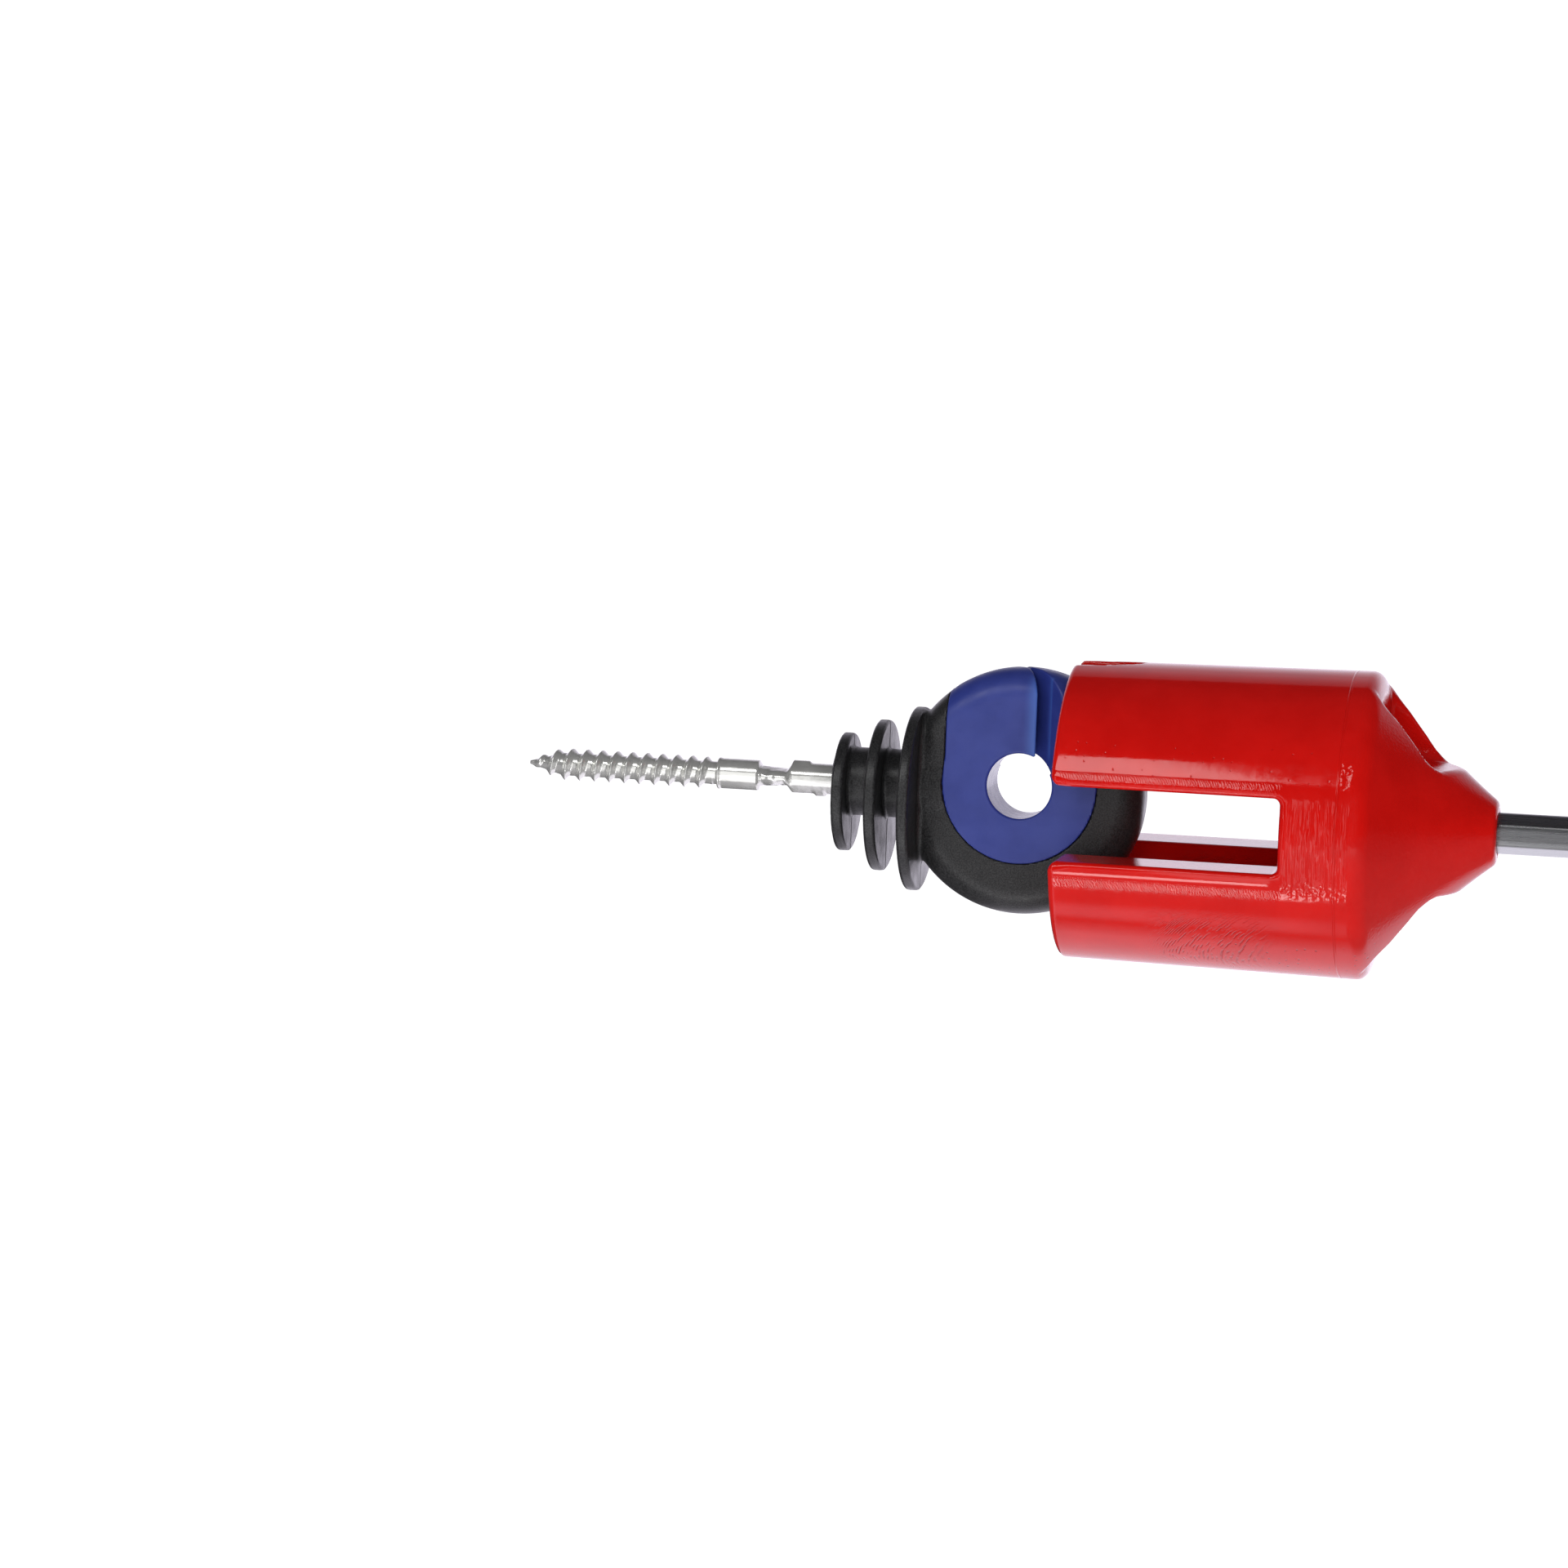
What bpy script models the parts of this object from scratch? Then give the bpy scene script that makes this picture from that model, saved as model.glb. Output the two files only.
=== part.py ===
# Screw-in ring insulator for an electric fence, with the plastic driver that turns it in.
# Metres, +Z up. +X runs along the shank, away from its thread. X = 0 is the face of the shank's shoulder.
# The ring lies in the XZ plane, so the fence rope runs along Y.

from math import acos, cos, pi, radians, sin, sqrt

import bmesh
import bpy

# Fit between neighbouring pieces
SEAT_GAP = 0.0003          # between mouldings, and between a moulding and its steel
RING_CLEARANCE = 0.0006    # between each flat of the ring and the driver's slots
CREST_CLEARANCE = 0.0004   # between the top of the ring and the roof of the driver's pocket
CUT_MARGIN = 0.0040        # how far a cutter runs past the surface that it opens

# Steel shank
SHANK_D = 0.0053
SHOULDER_EDGE = 0.0003     # rounding of the shoulder where the thread ends
THREAD_CORE_D = 0.0040
THREAD_LENGTH = 0.0340
THREAD_POINT_LENGTH = 0.0060
THREAD_POINT_R = 0.0003
STEM_LENGTH = 0.0211       # bare steel between the shoulder and the moulding
WAIST_START = 0.0073       # squeezed waist of the stem
WAIST_LENGTH = 0.0057
WAIST_HEIGHT = 0.0035
WAIST_WIDTH = 0.0064
WAIST_RAMP = 0.0010
WING_WIDTH = 0.0082        # flattened wings that anchor the shank in the hub
WING_LENGTH = 0.0055
WING_THICKNESS = 0.0027
WING_TAIL = 0.0035         # round steel past the wings
ANCHOR_CHAMFER = 0.0006
ANCHOR_WALL = 0.0025       # plastic between the shank's end and the insert's seat

# Black moulding: hub, sheds and ring
BOSS_WALL = 0.00255
BOSS_LENGTH = 0.00095      # collar in front of the first shed
HUB_WALL = 0.00155         # plastic round the wings
SHED_COUNT = 3
SHED_THICKNESS = 0.0020
SHED_PITCH = 0.0063
SHED_R = 0.0103            # first shed
SHED_GROWTH = 0.00285      # each shed is larger than the one before
SHED_DROP = 0.00194        # the sheds hang lower than the hub
SHED_DROP_GROWTH = 0.00026
SHED_EDGE = 0.00045
RING_NECK = 0.01765        # from the last shed to the ring's centre
RING_WALL = 0.0079         # black rim round the insert
RING_THICKNESS = 0.0116
RING_EDGE = 0.0049

# Blue wear insert
HOLE_RISE = 0.0013         # the hole and the insert sit above the shank's axis
HOLE_R = 0.00567
HOLE_EDGE = 0.0005
INSERT_WALL = 0.00783
INSERT_SHOULDER = 0.00030  # the sides stand in by this much from the round bottom
TONGUE_HEIGHT = 0.0012     # rib of the body that holds the insert by its groove
TONGUE_THICKNESS = 0.0030
SLIT_MOUTH = 0.0044        # width of the slit at each face, measured along X
SLIT_THROAT = 0.0005       # and halfway through, where the flaps nearly meet
SLIT_LAP = 0.0027          # how far the front flap ends past the hole's centre
SLIT_FLOOR = 0.0025        # the slit starts this far above the hole's centre

# Red driver
TIP_PAST_RING = 0.0083     # from the ring's centre to the driver's tip
DRIVER_DROP = 0.0026       # it hangs on the ring, so its axis is lower
DRIVER_ROOF = 0.00135      # wall above the crest of the ring, at the tip
DRIVER_FLARE = 0.0008      # the barrel grows by this much towards the shoulder
TIP_EDGE = 0.0010
SLOT_DEPTH = 0.0391
SLOT_CORNER = 0.0012
BORE_R = 0.0140
POCKET_ROUNDING = 0.0050
NOTCH_HALF_WIDTH = 0.0040  # the ring's crest opens the tip at top and bottom
NOTCH_LENGTH = 0.0117
WEB_LENGTH = 0.0130        # from the bottom of the slots to the shoulder
SHOULDER_ROUNDING = 0.0016
SHOULDER_TURN = radians(60)
CONE_LENGTH = 0.0218
CONE_SAG = 0.0012          # the cone's side is slightly hollow
NOSE_WALL = 0.0013         # plastic round the drive shank, at the nose
WINDOW_SETBACK = 0.0016    # from the shoulder to the windows in the cone
WINDOW_HALF_WIDTH = 0.0096
WINDOW_CORNER = 0.0025     # rounding inside a window, between its walls and its floor
LEDGE_WALL = 0.0068        # plastic between the drive shank and the floor of a window

# Steel drive shank, a hexagon
HEX_FLATS = 0.00635
HEX_FLOOR = 0.0100         # from the bottom of the slots to the hexagon's inner end
HEX_REACH = 0.0285         # hexagon past the nose
HEX_CHAMFER = 0.0008

# Smoothness of round pieces
SHANK_STEPS = 36
SHED_STEPS = 56
RING_STEPS = 72
HOLE_STEPS = 48
DRIVER_STEPS = 80
CONE_STEPS = 7
CORNER_STEPS = 4
SMOOTH_ANGLE = radians(32)

# Sizes that follow from the ones above
SHANK_R = SHANK_D / 2
INSERT_R = HOLE_R + INSERT_WALL
INSERT_HALF_WIDTH = INSERT_R - INSERT_SHOULDER
RING_R = INSERT_R + RING_WALL
BOSS_R = SHANK_R + BOSS_WALL
HUB_R = WING_WIDTH / 2 + SEAT_GAP + HUB_WALL
FIRST_SHED_X = STEM_LENGTH + BOSS_LENGTH
LAST_SHED_FACE = FIRST_SHED_X + SHED_THICKNESS + (SHED_COUNT - 1) * SHED_PITCH
RING_X = LAST_SHED_FACE + RING_NECK
ANCHOR_END = RING_X - INSERT_R - SEAT_GAP - ANCHOR_WALL
WING_X = ANCHOR_END - WING_TAIL - WING_LENGTH
HEX_R = HEX_FLATS / sqrt(3)
SLOT_HALF = RING_THICKNESS / 2 + RING_CLEARANCE
POCKET_REACH = RING_R + DRIVER_DROP + CREST_CLEARANCE
TIP_X = RING_X + TIP_PAST_RING
TIP_R = POCKET_REACH + DRIVER_ROOF
SLOT_END = TIP_X + SLOT_DEPTH
SHOULDER_X = SLOT_END + WEB_LENGTH
SHOULDER_R = TIP_R + DRIVER_FLARE
NOSE_X = SHOULDER_X + CONE_LENGTH
NOSE_R = HEX_R + SEAT_GAP + NOSE_WALL
WINDOW_X = SHOULDER_X + WINDOW_SETBACK
LEDGE_HEIGHT = HEX_R + SEAT_GAP + LEDGE_WALL
HEX_START = SLOT_END + HEX_FLOOR
HEX_END = NOSE_X + HEX_REACH

for old in list(bpy.data.objects):
    bpy.data.objects.remove(old, do_unlink=True)

parts = bpy.data.collections.new("fence_insulator")
cutters = bpy.data.collections.new("cutters")
bpy.context.scene.collection.children.link(parts)
bpy.context.scene.collection.children.link(cutters)


def new_object(name, mesh):
    """Places a helper: a cutter, or a shape that is joined to a part."""
    obj = bpy.data.objects.new(name, mesh)
    cutters.objects.link(obj)
    obj.hide_render = True
    obj.display_type = "WIRE"
    return obj


def corner(along, r, radius, start, end, steps=CORNER_STEPS):
    """Points of a rounded corner of a profile, as (along, r), from one angle to another."""
    points = []
    for i in range(steps + 1):
        angle = start + (end - start) * i / steps
        points.append((along + radius * sin(angle), r + radius * cos(angle)))
    return points


def revolve(name, profile, steps, axis):
    """Spins a profile about X or Y. Its (along, r) points run from the low end of the axis to the high end."""
    mesh = bpy.data.meshes.new(name)
    shape = bmesh.new()
    points = [shape.verts.new((r, 0, along)) for along, r in reversed(profile)]
    for upper, lower in zip(points, points[1:]):
        shape.edges.new((upper, lower))
    shape.to_mesh(mesh)
    shape.free()
    obj = new_object(name, mesh)
    screw = obj.modifiers.new("spin", "SCREW")
    screw.steps = steps
    screw.render_steps = steps
    screw.use_merge_vertices = True
    screw.merge_threshold = 0.00001
    obj.rotation_euler = (0, pi / 2, 0) if axis == "X" else (-pi / 2, 0, 0)
    return obj


def runs_along(edge, axis):
    """True if the edge is parallel to axis 0, 1 or 2."""
    span = edge.verts[0].co - edge.verts[1].co
    return abs(span[axis]) > 0.9 * span.length


def box(name, low, high, rounding=0.0, along=None, steps=3):
    """A box between two corners. rounding softens its edges: all of them, or those along one axis."""
    mesh = bpy.data.meshes.new(name)
    shape = bmesh.new()
    bmesh.ops.create_cube(shape, size=1.0)
    size = [b - a for a, b in zip(low, high)]
    middle = [(a + b) / 2 for a, b in zip(low, high)]
    bmesh.ops.scale(shape, vec=size, verts=shape.verts)
    bmesh.ops.translate(shape, vec=middle, verts=shape.verts)
    if rounding:
        edges = [edge for edge in shape.edges if along is None or runs_along(edge, along)]
        bmesh.ops.bevel(
            shape,
            geom=edges,
            offset=rounding,
            offset_type="OFFSET",
            segments=steps,
            profile=0.5,
            affect="EDGES",
        )
    shape.to_mesh(mesh)
    shape.free()
    return new_object(name, mesh)


def prism(name, outline, low, high, plane):
    """Extrudes a closed outline from low to high: one in the XZ plane along Y, one in XY along Z."""
    curve = bpy.data.curves.new(name, "CURVE")
    curve.dimensions = "2D"
    curve.fill_mode = "BOTH"
    curve.extrude = (high - low) / 2
    spline = curve.splines.new("POLY")
    spline.points.add(len(outline) - 1)
    for point, (u, v) in zip(spline.points, outline):
        point.co = (u, v, 0, 1)
    spline.use_cyclic_u = True
    guide = bpy.data.objects.new(name + "_outline", curve)
    cutters.objects.link(guide)
    bpy.context.view_layer.update()
    graph = bpy.context.evaluated_depsgraph_get()
    mesh = bpy.data.meshes.new_from_object(guide.evaluated_get(graph))
    bpy.data.objects.remove(guide, do_unlink=True)
    shape = bmesh.new()
    shape.from_mesh(mesh)
    bmesh.ops.remove_doubles(shape, verts=shape.verts, dist=0.000001)
    bmesh.ops.recalc_face_normals(shape, faces=shape.faces)
    shape.to_mesh(mesh)
    shape.free()
    obj = new_object(name, mesh)
    middle = (low + high) / 2
    if plane == "XZ":
        obj.rotation_euler = (pi / 2, 0, 0)
        obj.location.y = middle
    else:
        obj.location.z = middle
    return obj


def combine(obj, operation, *others):
    """Joins, cuts or intersects the object with the others in turn."""
    for other in others:
        boolean = obj.modifiers.new(operation.lower() + "_" + other.name, "BOOLEAN")
        boolean.operation = operation
        boolean.solver = "EXACT"
        boolean.object = other
    return obj


def finish(obj, name, colour, metallic, roughness):
    """Turns a helper shape into a named part, with its Booleans applied and its round faces shaded smooth."""
    bpy.context.view_layer.update()
    graph = bpy.context.evaluated_depsgraph_get()
    mesh = bpy.data.meshes.new_from_object(obj.evaluated_get(graph))
    mesh.transform(obj.matrix_world)
    mesh.name = name
    shape = bmesh.new()
    shape.from_mesh(mesh)
    bmesh.ops.remove_doubles(shape, verts=shape.verts, dist=0.000002)
    bmesh.ops.dissolve_degenerate(shape, edges=shape.edges, dist=0.000002)
    shape.to_mesh(mesh)
    shape.free()
    part = bpy.data.objects.new(name, mesh)
    parts.objects.link(part)
    bpy.data.objects.remove(obj, do_unlink=True)
    material = bpy.data.materials.new(name + "_material")
    material.use_nodes = True
    surface = material.node_tree.nodes["Principled BSDF"]
    surface.inputs["Base Color"].default_value = (*colour, 1)
    surface.inputs["Metallic"].default_value = metallic
    surface.inputs["Roughness"].default_value = roughness
    mesh.materials.clear()
    mesh.materials.append(material)
    mesh.shade_smooth()
    mesh.set_sharp_from_angle(angle=SMOOTH_ANGLE)
    return part


def shank_shape(name, grow):
    """The steel shank with its anchor wings. grow swells it evenly, to cut its seat in the hub."""
    r = SHANK_R + grow
    core = THREAD_CORE_D / 2
    end = ANCHOR_END + grow
    profile = [
        (-THREAD_LENGTH, 0),
        (-THREAD_LENGTH, THREAD_POINT_R),
        (-THREAD_LENGTH + THREAD_POINT_LENGTH, core),
        (0, core),
        *corner(SHOULDER_EDGE, r - SHOULDER_EDGE, SHOULDER_EDGE, -pi / 2, 0),
        (end - ANCHOR_CHAMFER, r),
        (end, r - ANCHOR_CHAMFER),
        (end, 0),
    ]
    shank = revolve(name, profile, SHANK_STEPS, "X")
    reach = WING_WIDTH / 2 + grow
    half = WING_THICKNESS / 2 + grow
    wings = box(
        name + "_wings",
        (WING_X - grow, -reach, -half),
        (WING_X + WING_LENGTH + grow, reach, half),
        ANCHOR_CHAMFER,
        along=2,
        steps=1,
    )
    return combine(shank, "UNION", wings)


def waist_cutter(name, side):
    """Squeezes the stem flat from above (side 1) or below (side -1), with a ramp at each end."""
    near = WAIST_HEIGHT / 2
    far = near + CUT_MARGIN
    end = WAIST_START + WAIST_LENGTH
    outline = [
        (WAIST_START, side * far),
        (WAIST_START, side * (near + WAIST_RAMP)),
        (WAIST_START + WAIST_RAMP / 2, side * near),
        (end - WAIST_RAMP, side * near),
        (end, side * (near + WAIST_RAMP)),
        (end, side * far),
    ]
    return prism(name, outline, -WAIST_WIDTH, WAIST_WIDTH, "XZ")


def build_shank():
    shank = shank_shape("shank_shape", 0.0)
    combine(shank, "DIFFERENCE", waist_cutter("waist_top", 1), waist_cutter("waist_bottom", -1))
    spread = box(
        "waist_spread",
        (WAIST_START + WAIST_RAMP, -WAIST_WIDTH / 2, -WAIST_HEIGHT / 2),
        (WAIST_START + WAIST_LENGTH - WAIST_RAMP, WAIST_WIDTH / 2, WAIST_HEIGHT / 2),
        WAIST_RAMP,
        along=2,
    )
    combine(shank, "UNION", spread)
    return finish(shank, "shank", (0.62, 0.64, 0.66), 1.0, 0.35)


def shed_shape(index):
    """One rain shed: a thin disc with soft edges, hung below the hub's axis."""
    back = FIRST_SHED_X + index * SHED_PITCH
    face = back + SHED_THICKNESS
    r = SHED_R + index * SHED_GROWTH - SHED_EDGE
    profile = [
        (back, 0),
        *corner(back + SHED_EDGE, r, SHED_EDGE, -pi / 2, 0, 2),
        *corner(face - SHED_EDGE, r, SHED_EDGE, 0, pi / 2, 2),
        (face, 0),
    ]
    shed = revolve("shed_" + str(index + 1), profile, SHED_STEPS, "X")
    shed.location.z = -SHED_DROP - index * SHED_DROP_GROWTH
    return shed


def ring_shape(name):
    """The whole ring as a thick disc with a large rounded rim, before the insert's seat is cut."""
    half = RING_THICKNESS / 2
    r = RING_R - RING_EDGE
    profile = [
        (-half, 0),
        *corner(-half + RING_EDGE, r, RING_EDGE, -pi / 2, 0, 6),
        *corner(half - RING_EDGE, r, RING_EDGE, 0, pi / 2, 6),
        (half, 0),
    ]
    ring = revolve(name, profile, RING_STEPS, "Y")
    ring.location.x = RING_X
    return ring


def arch(name, inset, low, high):
    """A slab with the insert's outline: round below, straight sides up through the ring's rim."""
    r = INSERT_R - inset
    half_width = INSERT_HALF_WIDTH - inset
    top = RING_R + CUT_MARGIN
    start = acos(half_width / r)
    outline = []
    for i in range(HOLE_STEPS + 1):
        angle = start - (pi + 2 * start) * i / HOLE_STEPS
        outline.append((RING_X + r * cos(angle), HOLE_RISE + r * sin(angle)))
    outline.append((RING_X - half_width, top))
    outline.append((RING_X + half_width, top))
    return prism(name, outline, low, high, "XZ")


def seat_shape(name, grow):
    """The insert's block: two arches with a narrower one between, which leaves the groove for the tongue."""
    half = RING_THICKNESS / 2 + CUT_MARGIN
    groove = TONGUE_THICKNESS / 2 + SEAT_GAP - grow
    middle = arch(name, TONGUE_HEIGHT - grow, -half, half)
    front = arch(name + "_front", -grow, -half - CUT_MARGIN, -groove)
    rear = arch(name + "_rear", -grow, groove, half + CUT_MARGIN)
    return combine(middle, "UNION", front, rear)


def build_body():
    hub_start = FIRST_SHED_X + SHED_THICKNESS / 2
    hub_end = RING_X - INSERT_R + INSERT_WALL / 2
    profile = [
        (STEM_LENGTH, 0),
        (STEM_LENGTH, BOSS_R - SHED_EDGE),
        (STEM_LENGTH + SHED_EDGE, BOSS_R),
        (hub_start, BOSS_R),
        (hub_start, HUB_R),
        (hub_end, HUB_R),
        (hub_end, 0),
    ]
    body = revolve("hub", profile, SHANK_STEPS, "X")
    ring = ring_shape("ring")
    behind_shed = box(
        "behind_last_shed",
        (RING_X - RING_R - CUT_MARGIN, -RING_R, -RING_R),
        (LAST_SHED_FACE - SHED_THICKNESS / 2, RING_R, RING_R),
    )
    combine(ring, "DIFFERENCE", behind_shed)
    combine(body, "UNION", *[shed_shape(i) for i in range(SHED_COUNT)], ring)
    combine(body, "DIFFERENCE", seat_shape("seat", SEAT_GAP), shank_shape("shank_seat", SEAT_GAP))
    return finish(body, "insulator_body", (0.012, 0.012, 0.013), 0.0, 0.5)


def hole_shape():
    """The rope hole, with soft rims at both faces."""
    half = RING_THICKNESS / 2
    profile = [
        (-half - HOLE_EDGE, 0),
        *corner(-half + HOLE_EDGE, HOLE_R + HOLE_EDGE, HOLE_EDGE, -pi / 2, -pi, 3),
        *corner(half - HOLE_EDGE, HOLE_R + HOLE_EDGE, HOLE_EDGE, pi, pi / 2, 3),
        (half + HOLE_EDGE, 0),
    ]
    profile.insert(1, (-half - HOLE_EDGE, HOLE_R + HOLE_EDGE))
    profile.insert(-1, (half + HOLE_EDGE, HOLE_R + HOLE_EDGE))
    hole = revolve("rope_hole", profile, HOLE_STEPS, "Y")
    hole.location.x = RING_X
    hole.location.z = HOLE_RISE
    return hole


def slit_shape():
    """The lapped slit: it slants from front right to back left, so that each flap overlaps the other."""
    half = RING_THICKNESS / 2
    far = half + CUT_MARGIN
    throat = SLIT_THROAT / 2
    flap = (SLIT_LAP + throat) * far / half - throat
    wall = (SLIT_LAP + SLIT_MOUTH - throat) * far / half + throat
    outline = [
        (RING_X + flap, -far),
        (RING_X + wall, -far),
        (RING_X + throat, 0),
        (RING_X - flap, far),
        (RING_X - wall, far),
        (RING_X - throat, 0),
    ]
    return prism("lapped_slit", outline, HOLE_RISE + SLIT_FLOOR, RING_R + CUT_MARGIN, "XY")


def build_insert():
    insert = combine(ring_shape("insert_rim"), "INTERSECT", seat_shape("insert_block", 0.0))
    combine(insert, "DIFFERENCE", hole_shape(), slit_shape())
    return finish(insert, "wear_insert", (0.030, 0.045, 0.220), 0.0, 0.4)


def driver_profile():
    """Outline of the driver: a slightly flared barrel, a rounded shoulder and a hollow-sided cone."""
    rounding = SHOULDER_ROUNDING
    shoulder = corner(SHOULDER_X, SHOULDER_R - rounding, rounding, 0, SHOULDER_TURN)
    start_x, start_r = shoulder[-1]
    cone = []
    for i in range(1, CONE_STEPS + 1):
        t = i / CONE_STEPS
        sag = 4 * CONE_SAG * t * (1 - t)
        cone.append((start_x + (NOSE_X - start_x) * t, start_r + (NOSE_R - start_r) * t - sag))
    return [
        (TIP_X, 0),
        *corner(TIP_X + TIP_EDGE, TIP_R - TIP_EDGE, TIP_EDGE, -pi / 2, 0),
        *shoulder,
        *cone,
        (NOSE_X, 0),
    ]


def notch_shape(side):
    """Opening at the tip for the crest of the ring, at the top (side 1) or the bottom (side -1)."""
    steps = 8
    start = TIP_X - CUT_MARGIN
    outline = [(start, -NOTCH_HALF_WIDTH)]
    for i in range(steps + 1):
        angle = -pi / 2 + pi * i / steps
        outline.append((TIP_X + NOTCH_LENGTH * cos(angle), NOTCH_HALF_WIDTH * sin(angle)))
    outline.append((start, NOTCH_HALF_WIDTH))
    near = side * BORE_R
    far = side * (SHOULDER_R + CUT_MARGIN)
    notch = prism("notch_top" if side > 0 else "notch_bottom", outline, min(near, far), max(near, far), "XY")
    notch.location.z -= DRIVER_DROP
    return notch


def window_shape(side):
    """Window in the cone with a flat ledge as its floor, above (side 1) or below (side -1)."""
    near = side * LEDGE_HEIGHT
    far = side * (SHOULDER_R + CUT_MARGIN)
    return box(
        "window_top" if side > 0 else "window_bottom",
        (WINDOW_X, -WINDOW_HALF_WIDTH, min(near, far) - DRIVER_DROP),
        (NOSE_X, WINDOW_HALF_WIDTH, max(near, far) - DRIVER_DROP),
        WINDOW_CORNER,
    )


def hex_shape(name, grow, chamfer):
    """The hexagon bar. grow swells it, to cut its socket in the driver, and chamfer breaks its end edges."""
    r = HEX_R + grow
    start = HEX_START - grow
    end = HEX_END + grow
    profile = [(start, 0), (start, r - chamfer), (end, r - chamfer), (end, 0)]
    if chamfer:
        profile[2:2] = [(start + chamfer, r), (end - chamfer, r)]
    bar = revolve(name, profile, 6, "X")
    bar.location.z = -DRIVER_DROP
    return bar


def build_driver():
    body = revolve("driver_outline", driver_profile(), DRIVER_STEPS, "X")
    body.location.z = -DRIVER_DROP
    front = TIP_X - CUT_MARGIN
    wide = SHOULDER_R + CUT_MARGIN
    cross_slot = box(
        "cross_slot",
        (front, -wide, -SLOT_HALF - DRIVER_DROP),
        (SLOT_END, wide, SLOT_HALF - DRIVER_DROP),
        SLOT_CORNER,
        along=1,
    )
    pocket = box(
        "ring_pocket",
        (front, -SLOT_HALF, -POCKET_REACH - DRIVER_DROP),
        (SLOT_END, SLOT_HALF, POCKET_REACH - DRIVER_DROP),
        POCKET_ROUNDING,
        along=0,
        steps=5,
    )
    bore_profile = [(front, 0), (front, BORE_R), (SLOT_END, BORE_R), (SLOT_END, 0)]
    bore = revolve("bore", bore_profile, HOLE_STEPS, "X")
    bore.location.z = -DRIVER_DROP
    combine(body, "DIFFERENCE", cross_slot, pocket, bore)
    combine(body, "DIFFERENCE", notch_shape(1), notch_shape(-1))
    combine(body, "DIFFERENCE", window_shape(1), window_shape(-1))
    combine(body, "DIFFERENCE", hex_shape("hex_socket", SEAT_GAP, 0.0))
    driver = finish(body, "driver_body", (0.52, 0.008, 0.010), 0.0, 0.3)
    bar = finish(hex_shape("hex_bar", 0.0, HEX_CHAMFER), "drive_shank", (0.55, 0.56, 0.58), 1.0, 0.3)
    slide = bpy.data.objects.new("driver_slide", None)
    slide.location = (TIP_X, 0, -DRIVER_DROP)
    parts.objects.link(slide)
    bpy.context.view_layer.update()
    for piece in (driver, bar):
        piece.parent = slide
        piece.matrix_parent_inverse = slide.matrix_world.inverted()


build_shank()
build_body()
build_insert()
build_driver()
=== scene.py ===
from math import cos, pi, radians, sin, sqrt

import bpy
import numpy as np
from mathutils import Matrix, Quaternion, Vector


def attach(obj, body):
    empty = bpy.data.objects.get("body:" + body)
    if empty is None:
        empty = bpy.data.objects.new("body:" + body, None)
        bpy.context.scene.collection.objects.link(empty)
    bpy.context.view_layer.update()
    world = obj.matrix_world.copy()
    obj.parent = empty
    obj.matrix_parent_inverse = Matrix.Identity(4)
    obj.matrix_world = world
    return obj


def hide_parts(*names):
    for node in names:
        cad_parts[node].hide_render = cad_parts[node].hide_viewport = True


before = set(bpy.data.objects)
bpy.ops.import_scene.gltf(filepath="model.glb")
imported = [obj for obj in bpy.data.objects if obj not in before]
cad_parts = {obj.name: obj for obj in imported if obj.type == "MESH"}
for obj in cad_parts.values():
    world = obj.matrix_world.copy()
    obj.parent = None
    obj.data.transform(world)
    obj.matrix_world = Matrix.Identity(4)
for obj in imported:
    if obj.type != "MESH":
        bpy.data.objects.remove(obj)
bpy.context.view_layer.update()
MM = 0.001

# Steel shank
SHANK_R = 2.65
FLANGE = 0.12              # swelling of the shoulder
FLANGE_FADE = (0.3, 0.8)   # it ends along this stretch
SHOULDER_EDGE = 0.3
THREAD_CORE_R = 2.0
THREAD_R = 2.85
THREAD_PITCH = 2.7
THREAD_RIDGE_HALF = 0.3    # half the width of its ridge, as a share of the pitch
THREAD_LENGTH = 34.0
THREAD_RUN_OUT = (-2.2, -0.6)
THREAD_POINT_LENGTH = 6.0
THREAD_POINT_R = 0.3
THREAD_POINT_GAIN = 1.6    # the ridge is full this much sooner than the core
STEM_LENGTH = 21.1
WAIST_START = 7.3
WAIST_ENTRY = 0.4
WAIST_END = 12.4
WAIST_RAMP = 1.1
WAIST_HALF_HEIGHT = (1.80, 1.45)   # at its start and its end
WAIST_HALF_WIDTH = 3.2
EAR_RISE = 0.4             # crimp marks on the stem
EAR_HALF_WIDTH = 0.35      # as a share of the stem's radius
TOP_EAR = (13.0, 13.5, 16.2, 16.8)   # where it starts to rise, is up, starts to fall and is down
LOW_EAR = (17.1, 17.7, 19.2, 19.6)
ANCHOR_END = 38.0
ANCHOR_EDGE = 0.6
ANCHOR_TAPER = 0.2         # share of the radius that the edge takes off

# Black moulding
BOSS_R = 5.2
BOSS_EDGE = 0.35
HUB_R = 5.95
HUB_SINK = 2.0             # it runs on this far past the edge of the insert's seat
FIRST_SHED_X = 22.05
SHED_COUNT = 3
SHED_THICKNESS = 2.0
SHED_PITCH = 6.3
SHED_R = 10.3
SHED_GROWTH = 2.85
SHED_DROP = 1.94
SHED_DROP_GROWTH = 0.26
SHED_EDGE = 0.5
SHED_FILLET = 0.6
RIDGE_RISE = 0.06          # parting ridge of the mould, over the sheds
RIDGE_HALF_WIDTH = 0.15
LAST_SHED_FACE = FIRST_SHED_X + SHED_THICKNESS + (SHED_COUNT - 1) * SHED_PITCH
RING_X = 54.3
RING_R = 21.4
RING_HALF = 5.8
RING_EDGE = 4.9
RING_FILLET = 1.2

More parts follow.
